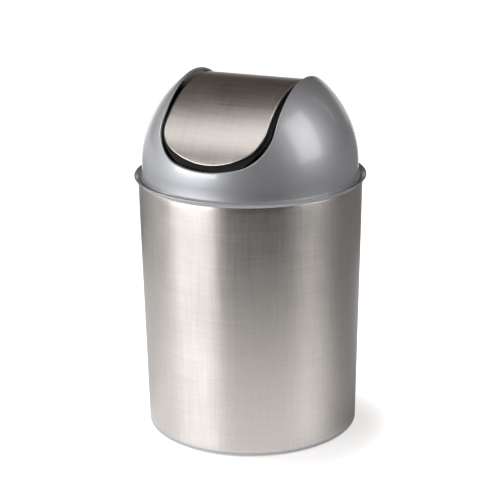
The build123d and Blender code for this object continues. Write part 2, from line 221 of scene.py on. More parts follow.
class SwingBin(PropertyGroup):
    """All settings of the bin, by piece."""

    sleeve: PointerProperty(type=SleeveSizes)
    bucket: PointerProperty(type=BucketSizes)
    lid: PointerProperty(type=LidSizes)
    flap: PointerProperty(type=FlapSizes)
    finishes: PointerProperty(type=Finishes)
    studio: PointerProperty(type=Studio)


# ---- Shader maths ----


class Wire:
    """A value in a material's node tree. Arithmetic on it adds Math nodes."""

    def __init__(self, tree, socket=None):
        self.tree = tree
        self.socket = socket

    def node(self, kind, inputs, output=0, **settings):
        """Adds a node: its settings first, then its sockets' values or links."""
        node = self.tree.nodes.new(kind)
        for name, value in settings.items():
            setattr(node, name, value)
        for name, value in inputs.items():
            if isinstance(value, Wire):
                self.tree.links.new(value.socket, node.inputs[name])
            else:
                node.inputs[name].default_value = value
        return Wire(self.tree, node.outputs[output] if node.outputs else None)

    def math(self, operation, first, second=0.0):
        """Adds a Math node on two values or wires."""
        return self.node("ShaderNodeMath", {0: first, 1: second}, operation=operation)

    def __add__(self, other):
        return self.math("ADD", self, other)

    def __radd__(self, other):
        return self.math("ADD", other, self)

    def __sub__(self, other):
        return self.math("SUBTRACT", self, other)

    def __rsub__(self, other):
        return self.math("SUBTRACT", other, self)

    def __mul__(self, other):
        return self.math("MULTIPLY", self, other)

    def __rmul__(self, other):
        return self.math("MULTIPLY", other, self)


def new_material(name, preview):
    """A new material, the wire that adds its nodes, and the piece's own coordinates."""
    material = bpy.data.materials.new(name)
    material.use_nodes = True
    material.node_tree.nodes.clear()
    material.diffuse_color = (*preview, 1)
    root = Wire(material.node_tree)
    return material, root, root.node("ShaderNodeTexCoord", {}, output="Object")


def vector_math(root, operation, first, second=(0, 0, 0), output="Value"):
    """Vector Math, which gives a number, or a vector where output says so."""
    inputs = {0: first, 1: second}
    return root.node("ShaderNodeVectorMath", inputs, output=output, operation=operation)


def noise(root, vector, scale, detail=2.0, roughness=0.5):
    """Noise from nought to one at a vector."""
    inputs = {"Vector": vector, "Scale": scale, "Detail": detail, "Roughness": roughness}
    return root.node("ShaderNodeTexNoise", inputs)


def swing(wire, amount):
    """A noise's swing to both sides of its middle, by an amount."""
    return (wire - 0.5) * amount


def streaks(root, run, cross, mark_length, mark_width, seed, detail=2.0):
    """Fine marks along one direction of a surface, from their length and width."""
    inputs = {0: run * (1 / mark_length), 1: cross * (1 / mark_width), 2: seed}
    return noise(root, root.node("ShaderNodeCombineXYZ", inputs), 1.0, detail)


def fade(root, value, strength, full, end):
    """A strength that is full at one value and falls softly to nothing at another."""
    inputs = {"Value": value, 1: end, 2: full, 3: 0.0, 4: strength}
    return root.node("ShaderNodeMapRange", inputs, interpolation_type="SMOOTHSTEP")


def tinted(root, share, tone, dark, light):
    """A tone that a wire takes from a darker to a lighter share of itself."""
    first, second = (tuple(min(1.0, part * tint) for part in tone) for tint in (dark, light))
    inputs = {"Factor": share, 6: (*first, 1), 7: (*second, 1)}
    return root.node("ShaderNodeMix", inputs, output=2, data_type="RGBA")


def surface(root, sockets, height, relief):
    """Ends a material with a Principled shader, and a Bump node for its relief."""
    inputs = {"Height": height, "Strength": 1.0, "Distance": relief}
    sockets["Normal"] = root.node("ShaderNodeBump", inputs)
    shader = root.node("ShaderNodeBsdfPrincipled", sockets)
    root.node("ShaderNodeOutputMaterial", {"Surface": shader})


def brushed_nickel(name, tone, blur, radius, axes, stretch=0.0):
    """Metal brushed both ways over a surface that curves at a radius.

    From the wires X, Y and Z, axes gives the two whose angle runs round it and the one along it.
    """
    material, root, position = new_material(name, tone)
    xyz = [root.node("ShaderNodeSeparateXYZ", {0: position}, output=axis) for axis in "XYZ"]
    first, second, run = axes(*xyz)
    around = root.math("ARCTAN2", first, second) * radius
    fine_round = streaks(root, around, run, 16 * MM, 0.42 * MM, seed=1.3, detail=3)
    fine_along = streaks(root, run, around, 18 * MM, 0.46 * MM, seed=7.9, detail=3)
    coarse_round = streaks(root, around, run, 40 * MM, 1.5 * MM, seed=3.1)
    coarse_along = streaks(root, run, around, 46 * MM, 1.6 * MM, seed=5.7)
    cloud = noise(root, position, 28.0)
    fine = (fine_round + fine_along) * 0.5
    coarse = (coarse_round + coarse_along) * 0.5
    grain = fine * 0.55 + coarse * 0.45
    shade = swing(grain, 2.6) + swing(cloud, 0.5) + 0.5
    sockets = {
        "Base Color": tinted(root, shade, tone, 0.84, 1.12),
        "Metallic": 1.0,
        "Roughness": swing(grain, 0.35) + swing(cloud, 0.08) + blur,
        "Anisotropic": stretch,
        "Anisotropic Rotation": 0.25,
    }
    surface(root, sockets, height=grain, relief=0.02 * MM)
    return material


def silver_plastic(name, finishes):
    """Moulded plastic with a metallic fleck under a glossy skin."""
    tone = finishes.silver
    material, root, position = new_material(name, tone)
    fleck = noise(root, position, 2600.0, roughness=0.6)
    cloud = noise(root, position, 14.0)
    ripple = noise(root, position, 160.0)
    shade = swing(fleck, 1.3) + swing(cloud, 0.5) + 0.5
    sockets = {
        "Base Color": tinted(root, shade, tone, 0.88, 1.1),
        "Metallic": finishes.silver_metal,
        "Roughness": swing(fleck, 0.12) + swing(cloud, 0.06) + finishes.silver_roughness,
        "Coat Weight": finishes.silver_coat,
        "Coat Roughness": finishes.silver_coat_blur,
    }
    surface(root, sockets, height=ripple, relief=0.01 * MM)
    return material


def moulded_plastic(name, tone, blur, grain_size, relief, specular=0.5):
    """Plain moulded plastic or rubber with a fine even grain."""
    material, root, position = new_material(name, tone)
    grain = noise(root, position, 1 / grain_size, 3.0, 0.6)
    cloud = noise(root, position, 40.0)
    sockets = {
        "Base Color": tinted(root, grain + cloud - 0.5, tone, 0.75, 1.25),
        "Roughness": swing(grain, 0.2) + swing(cloud, 0.1) + blur,
        "Specular IOR Level": specular,
    }
    surface(root, sockets, height=grain, relief=relief)
    return material


# ---- Modelling helpers ----


def clear_selection():
    """Leaves nothing selected, so that an operator acts only on what comes next."""
    bpy.ops.object.select_all(action="DESELECT")


def select_only(piece):
    """Leaves one piece selected and active."""
    clear_selection()
    piece.select_set(True)
    bpy.context.view_layer.objects.active = piece


def set_mode(mode):
    """Switches the active piece between OBJECT and EDIT mode."""
    bpy.ops.object.mode_set(mode=mode)


def named(name):
    """The primitive that was just added, named, with its place in its mesh."""
    piece = bpy.context.object
    piece.name = piece.data.name = name
    bpy.ops.object.transform_apply(location=True, rotation=True, scale=True)
    return piece


def rounded(corners, steps=5):
    """A profile's points, with an arc of the given radius at each corner (x, z, radius)."""
    points = []
    for number, (x, z, radius) in enumerate(corners):
        if not radius:
            points.append((x, z))
            continue
        corner = Vector((x, z))
        before = (Vector(corners[number - 1][:2]) - corner).normalized()
        after = (Vector(corners[(number + 1) % len(corners)][:2]) - corner).normalized()
        half = before.angle(after) / 2
        reach = radius / tan(half)
        middle = corner + (before + after).normalized() * (radius / sin(half))
        start = corner + before * reach - middle
        sweep = start.angle_signed(corner + after * reach - middle)
        for step in range(steps + 1):
            turn = Matrix.Rotation(-sweep * step / steps, 2)
            points.append(tuple(middle + turn @ start))
    return points


def turned(name, profile, closed=True):
    """A piece turned about the bin's axis from a profile of (radius, height) points."""
    clear_selection()
    x, z = profile[0]
    bpy.ops.mesh.primitive_plane_add(size=MM, enter_editmode=True, location=(x, 0, z))
    bpy.ops.mesh.merge(type="CENTER")
    for (x, z), (next_x, next_z) in zip(profile, profile[1:]):
        step = {"value": (next_x - x, 0, next_z - z)}
        bpy.ops.mesh.extrude_region_move(TRANSFORM_OT_translate=step)
    set_mode("OBJECT")
    piece = named(name)
    if closed:
        # The last point is still selected
        piece.data.vertices[0].select = True
        set_mode("EDIT")
        bpy.ops.mesh.edge_face_add()
    set_mode("EDIT")
    bpy.ops.mesh.select_all(action="SELECT")
    bpy.ops.mesh.spin(steps=TURN_STEPS, angle=2 * pi, center=(0, 0, 0), axis=(0, 0, 1))
    tidy_mesh()
    return piece


def spot(point):
    """A point's place as a key, fine enough to tell two vertices apart."""
    return tuple(round(part, 8) for part in point)


def tidy_mesh():
    """Closes the active piece's seams and poles, and turns every face outwards."""
    set_mode("EDIT")
    bpy.ops.mesh.select_all(action="SELECT")
    bpy.ops.mesh.remove_doubles(threshold=MERGE_DISTANCE)
    bpy.ops.mesh.delete_loose()
    bpy.ops.mesh.select_all(action="SELECT")
    bpy.ops.mesh.normals_make_consistent(inside=False)
    set_mode("OBJECT")


def smooth(piece, angle):
    """Smooth shading, broken at edges sharper than an angle."""
    select_only(piece)
    bpy.ops.object.shade_smooth_by_angle(angle=radians(angle))


def apply_modifier(piece, kind, **settings):
    """Adds a modifier to a piece and applies it."""
    select_only(piece)
    modifier = piece.modifiers.new(kind.title(), kind)
    for name, value in settings.items():
        setattr(modifier, name, value)
    bpy.ops.object.modifier_apply(modifier=modifier.name)


def join_with(piece, tool, operation):
    """Applies a Boolean of a tool to a piece, and deletes the tool."""
    apply_modifier(piece, "BOOLEAN", object=tool, operation=operation, solver="EXACT")
    bpy.data.objects.remove(tool)


def block(name, centre, size, turn=0.0):
    """A rectangular bar about a centre, turned about Z, with its place in its mesh."""
    clear_selection()
    bpy.ops.mesh.primitive_cube_add(size=1, location=centre, rotation=(0, 0, turn))
    bpy.context.object.scale = size
    return named(name)


def bar(name, start, end, radius, across, height):
    """A round bar parallel to X, from one distance from the middle to another."""
    clear_selection()
    bpy.ops.mesh.primitive_cylinder_add(
        vertices=48,
        radius=radius,
        depth=abs(end - start),
        location=((start + end) / 2, across, height),
        rotation=(0, pi / 2, 0),
    )
    return named(name)


def give(piece, body, material, node):
    """Puts a finished piece on its body, in place of its solid, with its material."""
    piece.data.materials.clear()
    piece.data.materials.append(material)
    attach(piece, body)
    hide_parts(node)


# ---- The saddle outline, seen from the front ----


class Saddle:
    """Front view of the opening or the plate: round bottom, round corners, straight sides.

    Heights are above the dome's centre.
    """

    def __init__(self, half_width, bottom, bottom_radius, corner_radius):
        self.half_width = half_width
        self.low_radius = bottom_radius
        self.corner_radius = corner_radius
        self.corner_x = half_width - corner_radius
        self.low_z = bottom + bottom_radius
        self.corner_z = self.low_z - sqrt((bottom_radius - corner_radius) ** 2 - self.corner_x**2)
        self.lean = asin(self.corner_x / (bottom_radius - corner_radius))

    def arc(self, x, z):
        """Centre and radius of the arc that a point faces, or None beside a straight side."""
        if atan2(x, self.low_z - z) < self.lean and z < self.low_z:
            return 0.0, self.low_z, self.low_radius
        if z < self.corner_z:
            return self.corner_x, self.corner_z, self.corner_radius
        return None

    def gap(self, x, z):
        """Distance of a point outside the outline."""
        x = abs(x)
        arc = self.arc(x, z)
        if not arc:
            return x - self.half_width
        centre_x, centre_z, radius = arc
        return hypot(x - centre_x, z - centre_z) - radius

    def height(self, x):
        """Height of the lower edge at a distance from the middle."""
        x = min(abs(x), self.half_width)
        if x < self.low_radius * sin(self.lean):
            return self.low_z - sqrt(self.low_radius**2 - x**2)
        return self.corner_z - sqrt(max(0.0, self.corner_radius**2 - (x - self.corner_x) ** 2))

    def outwards(self, x, z):
        """Direction straight out of the outline at a point on it."""
        side = -1 if x < 0 else 1
        x = abs(x)
        arc = self.arc(x, z)
        if not arc:
            return (side, 0.0)
        centre_x, centre_z, _ = arc
        reach = hypot(x - centre_x, z - centre_z)
        return (side * (x - centre_x) / reach, (z - centre_z) / reach)

    def meet(self, azimuth, radius, gap):
        """Where a sphere's meridian comes within a gap of the outline: (distance, height)."""
        low, high = 0.0, radius
        for _ in range(HALVINGS):
            z = (low + high) / 2
            distance = sqrt(radius**2 - z**2)
            if self.gap(distance * cos(azimuth), z) > gap:
                low = z
            else:
                high = z
        return distance, z

    def bend(self, azimuth, radius):
        """Angle that a sphere's surface turns through to run on down the cut face."""
        distance, z = self.meet(azimuth, radius, 0)
        x = distance * cos(azimuth)
        out_x, out_z = self.outwards(x, z)
        return acos(-(x * out_x + z * out_z) / radius)


# ---- Pieces ----


class SWINGBIN_OT_sleeve(Operator):
    """Build the tapered metal sleeve with its hems and its lap seam"""

    bl_idname = "swing_bin.sleeve"
    bl_label = "Sleeve"

    def execute(self, context):
        sizes = context.scene.swing_bin.sleeve
        fall = (sizes.top_radius - sizes.bottom_radius) / (sizes.top - sizes.foot)

        def corner(sheets, z, radius=0.0):
            """A corner of the section, so many sheets' thickness behind the outside."""
            outside = sizes.bottom_radius + (z - sizes.foot) * fall
            return (outside - sheets * sizes.sheet, z, radius)

        low, high = sizes.foot + sizes.hem, sizes.top - sizes.hem
        corners = [
            corner(0, sizes.foot, sizes.hem_round),
            corner(0, low),
            corner(0, high),
            corner(0, sizes.top, sizes.hem_round),
            corner(2, sizes.top, sizes.hem_round),
            corner(2, high),
            corner(1, high),
            corner(1, low),
            corner(2, low),
            corner(2, sizes.foot, sizes.hem_round),
        ]
        sleeve = turned("outer_sleeve_brushed", rounded(corners))
        self.raise_seam(sizes, low, high)
        smooth(sleeve, 30)
        finishes = context.scene.swing_bin.finishes
        material = brushed_nickel(
            "sleeve_nickel",
            finishes.nickel,
            finishes.sleeve_blur,
            sizes.top_radius,
            lambda x, y, z: (x, y * -1, z),
            finishes.sleeve_stretch,
        )
        give(sleeve, "body", material, "outer_sleeve")
        return {"FINISHED"}

    def raise_seam(self, sizes, low, high):
        """Lifts the strip of sheet that laps over its other end, at the back."""
        half_angle = sizes.seam_width / sizes.top_radius / 2
        shell = sizes.bottom_radius - sizes.sheet / 2
        set_mode("EDIT")
        bpy.ops.mesh.select_mode(type="FACE")
        bpy.ops.mesh.select_all(action="DESELECT")
        set_mode("OBJECT")
        for face in bpy.context.object.data.polygons:
            x, y, z = face.center
            outer = hypot(x, y) > shell and face.normal.y > 0.5
            face.select = outer and low < z < high and abs(atan2(x, y)) < half_angle
        set_mode("EDIT")
        rise = {"value": sizes.seam_rise}
        bpy.ops.mesh.extrude_region_shrink_fatten(TRANSFORM_OT_shrink_fatten=rise)
        bpy.ops.mesh.region_to_loop()
        bpy.ops.mesh.bevel(offset=sizes.seam_edge, segments=3)
        bpy.ops.mesh.select_mode(type="VERT")
        set_mode("OBJECT")


class SWINGBIN_OT_bucket(Operator):
    """Build the inner bucket with its flared rim and its spacer ribs"""

    bl_idname = "swing_bin.bucket"
    bl_label = "Inner Bucket"

    def execute(self, context):
        settings = context.scene.swing_bin
        sizes = settings.bucket
        flat = sizes.bottom_radius - sizes.push_up_margin
        floor = sizes.base + sizes.wall
        outside = sizes.mouth_radius + sizes.wall
        corners = [
            (0, sizes.base + sizes.push_up, 0),
            (flat, sizes.base + sizes.push_up, sizes.push_up_round),
            (flat + sizes.push_up, sizes.base, sizes.push_up_round),
            (sizes.bottom_radius, sizes.base, sizes.corner),
            (outside, sizes.mouth_foot, sizes.mouth_round),
            (outside, sizes.web_foot, 0.4 * MM),
            (sizes.spigot_radius, sizes.web_foot, 0.2 * MM),
            (sizes.spigot_radius, settings.sleeve.top, 0),
            (settings.sleeve.top_radius, settings.sleeve.top, 0),
            (sizes.lip_root_radius, sizes.lip_root, 0.6 * MM),
            (sizes.rim_radius, sizes.rim_top - sizes.lip, sizes.lip_round),
            (sizes.rim_radius, sizes.rim_top, sizes.lip_round),
            (sizes.rim_radius - sizes.rim_edge, sizes.rim_top, 0.25 * MM),
            (sizes.seat_radius, sizes.seat, sizes.seat_round),
            (sizes.mouth_radius, sizes.seat, sizes.seat_round),
            (sizes.mouth_radius, sizes.mouth_foot, sizes.mouth_round),
            (sizes.bottom_radius - sizes.wall, floor, sizes.corner - sizes.wall),
            (flat + sizes.push_up + sizes.wall / 2, floor, sizes.push_up_round),
            (flat + sizes.wall / 2, floor + sizes.push_up, sizes.push_up_round),
            (0, floor + sizes.push_up, 0),
        ]
        bucket = turned("inner_bucket_moulded", rounded(corners), closed=False)
        for rib in self.ribs(sizes):
            join_with(bucket, rib, "UNION")
        smooth(bucket, 32)
        material = silver_plastic("bucket_plastic", settings.finishes)
        give(bucket, "bucket", material, "inner_bucket")
        return {"FINISHED"}

    def ribs(self, sizes):
        """The spacer ribs under the rim, each a bar that reaches into the wall."""
        inner = sizes.mouth_radius + sizes.wall / 2
        middle = (inner + sizes.spigot_radius) / 2
        into_web = 0.2 * MM
        height = sizes.web_foot - sizes.rib_height / 2 + into_web / 2
        size = (sizes.spigot_radius - inner, sizes.rib_width, sizes.rib_height + into_web)
        for turn in range(sizes.rib_count):
            angle = 2 * pi * turn / sizes.rib_count
            yield block("rib", (middle * cos(angle), middle * sin(angle), height), size, angle)


class SWINGBIN_OT_lid(Operator):
    """Build the domed lid with its saddle opening, its horns and the brackets inside them"""

    bl_idname = "swing_bin.lid"
    bl_label = "Domed Lid"

    def execute(self, context):
        settings = context.scene.swing_bin
        sizes = settings.lid
        saddle = Saddle(
            sizes.opening_half_width,
            sizes.opening_bottom,
            sizes.opening_bottom_radius,
            sizes.opening_corner_radius,
        )
        lid = self.shell(sizes, saddle)
        for side in (1, -1):
            join_with(lid, self.bracket(sizes, side), "UNION")
        smooth(lid, 40)
        material = silver_plastic("lid_plastic", settings.finishes)
        give(lid, "lid", material, "lid_dome")
        return {"FINISHED"}

    def shell(self, sizes, saddle):
        """The dome's wall: a ring whose section is fitted to the opening at each angle."""
        angles = [2 * pi * column / DOME_COLUMNS for column in range(DOME_COLUMNS)]
        sections = [self.section(sizes, saddle, angle) for angle in angles]
        rows = len(sections[0])
        clear_selection()
        bpy.ops.mesh.primitive_torus_add(
            major_segments=DOME_COLUMNS, minor_segments=rows, major_radius=sizes.radius
        )
        lid = named("lid_dome_moulded")
        for number, vertex in enumerate(lid.data.vertices):
            column, row = divmod(number, rows)
            distance, height = sections[column][row]
            angle = angles[column]
            vertex.co = (distance * cos(angle), distance * sin(angle), height)
        tidy_mesh()
        return lid

    def section(self, sizes, saddle, azimuth):
        """The wall's section at an angle: (distance, height) points round it."""
        inner = sizes.radius - sizes.wall
        collar_top = sizes.seat + sizes.collar
        skirt_inner = sizes.skirt_radius - sizes.skirt_wall
        skirt_foot = sizes.seat - sizes.skirt_depth
        foot = sizes.radius + sizes.foot_stand
        foot_top = sizes.seat + sizes.foot_height
        corners = [
            (inner, sizes.centre, 0),
            (inner, collar_top, sizes.collar_round),
            (skirt_inner, collar_top, sizes.collar_round),
            (skirt_inner, skirt_foot, sizes.skirt_round),
            (sizes.skirt_radius, skirt_foot, sizes.skirt_round),
            (sizes.skirt_radius, sizes.seat, sizes.seat_round),
            (foot, sizes.seat, sizes.seat_round),
            (foot, foot_top, sizes.foot_round),
            (sizes.radius, foot_top, sizes.foot_round),
            (sizes.radius, sizes.centre, 0),
        ]
        edge = self.edge(sizes, saddle.bend(azimuth, sizes.radius))
        points = [saddle.meet(azimuth, radius, gap) for radius, gap in edge]
        outer_rise = self.meridian(sizes.radius, points[0])
        inner_fall = self.meridian(inner, points[-1])[::-1]
        upper = outer_rise + points[1:-1] + inner_fall
        raised = [(distance, sizes.centre + height) for distance, height in upper]
        return rounded(corners, steps=4) + raised

    def edge(self, sizes, bend):
        """The edge at the opening, where the outer surface turns by the angle bend.

        It is round on the outside and half as round inside. Each point is its distance from the
        dome's centre and its gap to the outline.
        """

        def arc(surface, rounding, bend, steps):
            """Points round from a surface to the cut face. A rounding below nought sinks in."""
            turns = [bend * step / steps for step in range(steps + 1)]
            return [
                (surface + rounding * (1 - cos(turn)), abs(rounding) * (1 - cos(bend - turn)))
                for turn in turns
            ]

        outer = arc(sizes.radius, -sizes.edge_round, bend, EDGE_STEPS)
        inner = arc(sizes.radius - sizes.wall, sizes.edge_round / 2, pi - bend, INNER_EDGE_STEPS)
        return outer + inner[::-1]

    def meridian(self, radius, end):
        """Points up a meridian from just above the equator to an end point."""
        top = atan2(end[1], end[0])
        angles = [top * row / DOME_ROWS for row in range(1, DOME_ROWS + 1)]
        return [(radius * cos(angle), radius * sin(angle)) for angle in angles]

    def bracket(self, sizes, side):
        """The web, boss and stop pegs inside one horn."""
        web_start = sizes.opening_half_width + sizes.web_inset
        clear_selection()
        bpy.ops.mesh.primitive_uv_sphere_add(
            segments=128,
            ring_count=64,
            radius=sizes.radius - sizes.wall / 2,
            location=(0, 0, sizes.centre),
        )
        bracket = named("bracket")
        web_middle = web_start + sizes.web / 2
        web_bottom = sizes.pivot - sizes.web_below
        web_height = sizes.radius
        web = block(
            "web",
            (side * web_middle, 0, web_bottom + web_height / 2),
            (sizes.web, 2 * sizes.web_half_width, web_height),
        )
        join_with(bracket, web, "INTERSECT")

        def join_bar(operation, name, start, end, radius, across=0.0, height=sizes.pivot):
            """Adds a round bar to the bracket, or cuts it out."""
            tool = bar(name, side * start, side * end, radius, across, height)
            join_with(bracket, tool, operation)

        boss_start, boss_end = sizes.boss_start, sizes.boss_start + sizes.boss_length
        join_bar("UNION", "boss", boss_start, boss_end, sizes.boss_radius)
        peg_height = sizes.pivot - sizes.peg_distance * sin(sizes.peg_angle)
        for front in (1, -1):
            across = front * sizes.peg_distance * cos(sizes.peg_angle)
            place = (across, peg_height)
            join_bar("UNION", "peg", sizes.peg_start, web_middle, sizes.peg_radius, *place)
        ends = (boss_start - sizes.web, boss_end + sizes.web)
        join_bar("DIFFERENCE", "bore", *ends, sizes.bore_radius)
        return bracket


class SWINGBIN_OT_flap_face(Operator):
    """Build the arched brushed plate with its folded edge"""

    bl_idname = "swing_bin.flap_face"
    bl_label = "Flap Plate"

    def execute(self, context):
        settings = context.scene.swing_bin
        sizes, finishes = settings.flap, settings.finishes
        plate = self.plate(settings)
        apply_modifier(plate, "SOLIDIFY", thickness=sizes.sheet, offset=-1, use_even_offset=True)
        smooth(plate, 40)
        material = brushed_nickel(
            "flap_nickel",
            finishes.nickel,
            finishes.flap_blur,
            sizes.arch_radius,
            lambda x, y, z: (y, z - sizes.arch_height, x),
        )
        give(plate, "flap", material, "flap_face")
        return {"FINISHED"}

    def plate(self, settings):
        """A grid wrapped over the arch inside the outline, whose border is folded down."""
        sizes = settings.flap
        centre = settings.lid.centre
        inside = Saddle(
            sizes.half_width - sizes.fold,
            sizes.bottom + sizes.fold,
            sizes.bottom_radius - sizes.fold,
            sizes.corner_radius - sizes.fold,
        )
        arch_drop = sizes.arch_height - centre

        clear_selection()
        bpy.ops.mesh.primitive_grid_add(
            x_subdivisions=PLATE_COLUMNS, y_subdivisions=PLATE_ROWS, size=2
        )
        plate = named("flap_face_brushed")
        for vertex in plate.data.vertices:
            across, run = vertex.co.x, vertex.co.y
            x = inside.half_width * sin(across * pi / 2)
            end = (inside.height(x) - arch_drop) / sizes.arch_radius
            angle = run * (pi / 2 - asin(end))
            vertex.co = self.on_arch(sizes, x, angle, sizes.arch_radius)
        set_mode("EDIT")
        bpy.ops.mesh.select_all(action="SELECT")
        bpy.ops.mesh.region_to_loop()
        set_mode("OBJECT")
        # Where each border point started, found again by its place after each extrusion
        starts = {}
        for vertex in plate.data.vertices:
            if vertex.select:
                x, y, z = vertex.co
                starts[spot(vertex.co)] = (x, 1 if y > 0 else -1, z - centre)
        turns = [pi / 2 * step / FOLD_STEPS for step in range(1, FOLD_STEPS + 1)]
        steps = [(sizes.fold * sin(turn), sizes.fold * (1 - cos(turn))) for turn in turns]
        steps.append((sizes.fold, sizes.sheet + sizes.lip))
        for out, drop in steps:
            set_mode("EDIT")
            bpy.ops.mesh.extrude_edges_move()
            set_mode("OBJECT")
            moved = {}
            for vertex in plate.data.vertices:
                if vertex.select:
                    start = starts[spot(vertex.co)]
                    vertex.co = self.folded(sizes, inside, arch_drop, start, out, drop)
                    moved[spot(vertex.co)] = start
            starts = moved
        tidy_mesh()
        return plate

    def on_arch(self, sizes, x, angle, radius):
        """A point by its angle from the top of the arch and its distance from the axis."""
        return (x, radius * sin(angle), sizes.arch_height + radius * cos(angle))

    def folded(self, sizes, inside, arch_drop, start, out, drop):
        """A border point carried out of the inner outline and down the fold.

        The lip runs straight back from the curved ends, and square to the arch along its sides.
        """
        x, side, z = start
        away_x, away_z = inside.outwards(x, z)
        radius = sizes.arch_radius - drop
        square = acos(min(1.0, (z - arch_drop) / sizes.arch_radius))
        straight = acos(min(1.0, (z + away_z * out - arch_drop) / radius))
        share = min(1.0, max(0.0, (z - inside.corner_z) / sizes.lip_blend))
        angle = square * share + straight * (1 - share)
        return self.on_arch(sizes, x + away_x * out, side * angle, radius)


class SWINGBIN_OT_mouldings(Operator):
    """Give the tray, the pads, the flap's frame and the pins their finishes"""

    bl_idname = "swing_bin.mouldings"
    bl_label = "Other Mouldings"

    def execute(self, context):
        finishes = context.scene.swing_bin.finishes
        black = moulded_plastic("frame_plastic", finishes.black, 0.52, 0.5 * MM, 0.02 * MM, 0.18)
        rubber = moulded_plastic("pad_rubber", finishes.rubber, 0.8, 0.35 * MM, 0.03 * MM)
        pin = moulded_plastic("pin_plastic", finishes.pin, 0.35, 0.6 * MM, 0.01 * MM)
        finish_of = {
            "base_tray": silver_plastic("tray_plastic", finishes),
            "base_pads": rubber,
            "flap_frame": black,
            "pivot_pin_left": pin,
            "pivot_pin_right": pin,
        }
        for node, material in finish_of.items():
            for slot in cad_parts[node].material_slots:
                slot.material = material
        return {"FINISHED"}


# ---- The studio ----

# Directions are degrees from the camera's side of the bin, to the right. A place on the floor is
# such a direction and a distance in metres. A fade is a strength, where it is full and where it
# ends: metres from a place or along a direction, or the cosine of the angle to a direction.
FLOOR_SIZE = 12
BEHIND = 180

# What the camera sees: white paper, less bright in a patch at the bin's front right, a painted
# shadow that deepens the lamps' own shadow there
PAPER_GLOW = 0.47
PAINTED_SHADOW_PLACE = (38, 0.026)
PAINTED_SHADOW_FADE = (0.56, 0.094, 0.05)

# What metal and gloss see of the floor: a glow of painted light round the bin that ends a third
# of a metre out, with painted shadow in the lamps' lee and at the right of the foot, and painted
# shade in the quarter at the rear left
NEAR_PLACE = (-147, 0.055)
NEAR_GLOW = (1.03, 0.274, 0.357)
LEE_DIRECTION = 109
LEE_FADE = (1.0, 0.4, 1.18)
FOOT_PLACE = (85, 0.045)
FOOT_SHADE = (0.42, 0.04, 0.08)
QUARTER_DIRECTION = -135
QUARTER_SHADE = (0.22, 0.97, 0.6)
# More painted light farther out at the left, a little at the right rear, and a strip straight behind
SIDE_DIRECTION = -104
SIDE_GLOW = (0.76, 1.02, 0.189)
FAR_DIRECTION = 125
FAR_GLOW = (0.2, 0.086, 0.036)
BACK_GLOW = (0.8, 0.94, 0.87)
BACK_START = (1.0, 0.5, 0.38)

# The lit wall behind the bin, which ends at a sine of the height, and the dim warm room
WALL_GLOW = (0.85, 0.9, 0.78)
WALL_TOP = (1.0, 0.03, 0.22)
WHITE = (1, 1, 1)
ROOM_TINT = (1, 0.72, 0.62)
ROOM_LIGHT = 0.048

# Softboxes: name, direction, elevation, width and height in metres, brightness of the front
LAMP_DISTANCE = 1.5
LAMPS = (
    ("softbox_left", -58.8, 6.4, 1.35, 0.45, 7.22),
    ("softbox_side", -101.4, 27.8, 0.5, 0.7, 5.92),
    ("softbox_top", -56.0, 71.6, 0.70, 1.61, 1.55),
    ("softbox_right", 67.0, 29.0, 0.82, 1.12, 3.2),
    ("softbox_back", 122.3, 28.8, 0.1, 0.56, 0.96),
)

# Width of the camera's sensor in millimetres
SENSOR_WIDTH = 36


def direction_of(turn, lift):
    """Direction from the bin, by its turn from straight ahead and its lift above the floor."""
    return Vector((sin(turn) * cos(lift), -cos(turn) * cos(lift), sin(lift)))


def on_floor(studio, azimuth, distance=1):
    """A place on the floor, by its direction from the camera's side and its distance."""
    return direction_of(studio.azimuth + radians(azimuth), 0) * distance


